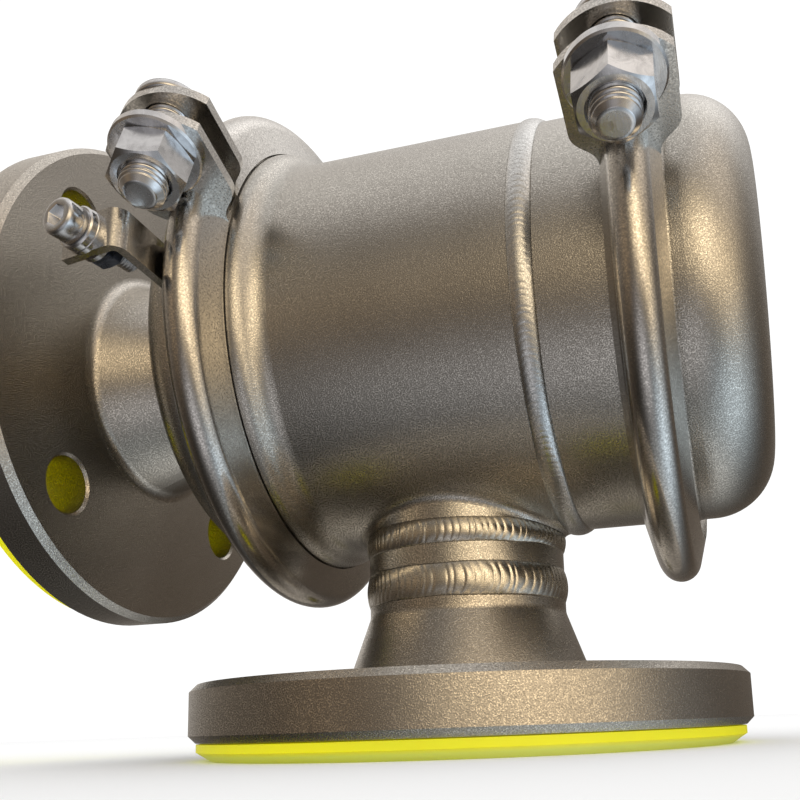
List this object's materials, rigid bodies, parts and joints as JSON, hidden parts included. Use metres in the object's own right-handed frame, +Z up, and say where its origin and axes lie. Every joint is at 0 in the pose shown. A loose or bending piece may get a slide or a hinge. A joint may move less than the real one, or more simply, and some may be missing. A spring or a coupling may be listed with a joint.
{
  "type": "flanged angle valve",
  "caption": "Clamp-housed stainless angle valve: horizontal inlet flange, flange facing down, domed service cover, V-band clamps, spring-closed plate valve and yellow flange caps.",
  "frame": {"origin": "centre of the outlet flange's raised face", "axes": "+Z up from the outlet flange into the body, -X out of the inlet flange, +X out of the domed service cover, -Y the side that the clamp bolts and the earthing screw face"},
  "size_m": [0.229, 0.1867, 0.2105],
  "materials": {
    "blasted_steel": "bead-blasted satin",
    "weld_steel": "rippled weld, brushed clean",
    "bright_steel": "bright stainless",
    "dark_steel": "dark blue-black plating",
    "spring_steel": "drawn wire",
    "yellow_plastic": "moulded polyethylene",
    "white_seal": "PTFE"
  },
  "bodies": {
    "housing": {"inlet_flange": "blasted_steel", "inlet_weld": "weld_steel", "inlet_cover": "blasted_steel", "inlet_gasket": "white_seal", "body_tee": "blasted_steel", "seam_weld": "weld_steel", "body_extension": "blasted_steel", "cover_gasket": "white_seal", "cover_rim": "blasted_steel", "domed_cover": "blasted_steel", "collar_weld": "weld_steel", "outlet_spool": "blasted_steel", "outlet_weld": "weld_steel", "outlet_flange": "blasted_steel", "inlet_clamp_front": "blasted_steel", "inlet_clamp_rear": "blasted_steel", "inlet_clamp_link": "blasted_steel", "cover_clamp_front": "blasted_steel", "cover_clamp_rear": "blasted_steel", "cover_clamp_link": "blasted_steel", "clamp_bolts": "bright_steel", "clamp_washers": "bright_steel", "clamp_nuts": "bright_steel", "earthing_tab": "blasted_steel", "earthing_washers": "bright_steel", "earthing_spring_washer": "bright_steel", "earthing_screw": "bright_steel", "earthing_nut": "dark_steel", "seat_ring": "blasted_steel", "guide_spider": "blasted_steel", "guide_bush": "white_seal", "stop_sleeve": "blasted_steel", "return_spring": "spring_steel"},
    "valve": {"plate_seal": "white_seal", "valve_plate": "blasted_steel", "valve_stem": "bright_steel", "stem_nut": "bright_steel"},
    "inlet_cap": {"inlet_protector": "yellow_plastic"},
    "outlet_cap": {"outlet_protector": "yellow_plastic"}
  },
  "joints": [
    {"name": "valve_lift", "type": "slide", "parent": "housing", "child": "valve", "axis": [1, 0, 0], "range_m": [0, 0.015], "stiffness_N_per_m": 400, "springref_m": -0.02, "deforming": ["return_spring"]},
    {"name": "inlet_cap_pull", "type": "slide", "parent": "housing", "child": "inlet_cap", "axis": [-1, 0, 0], "range_m": [0, 0.06]},
    {"name": "outlet_cap_pull", "type": "slide", "parent": "housing", "child": "outlet_cap", "axis": [0, 0, -1], "range_m": [0, 0.06]}
  ]
}
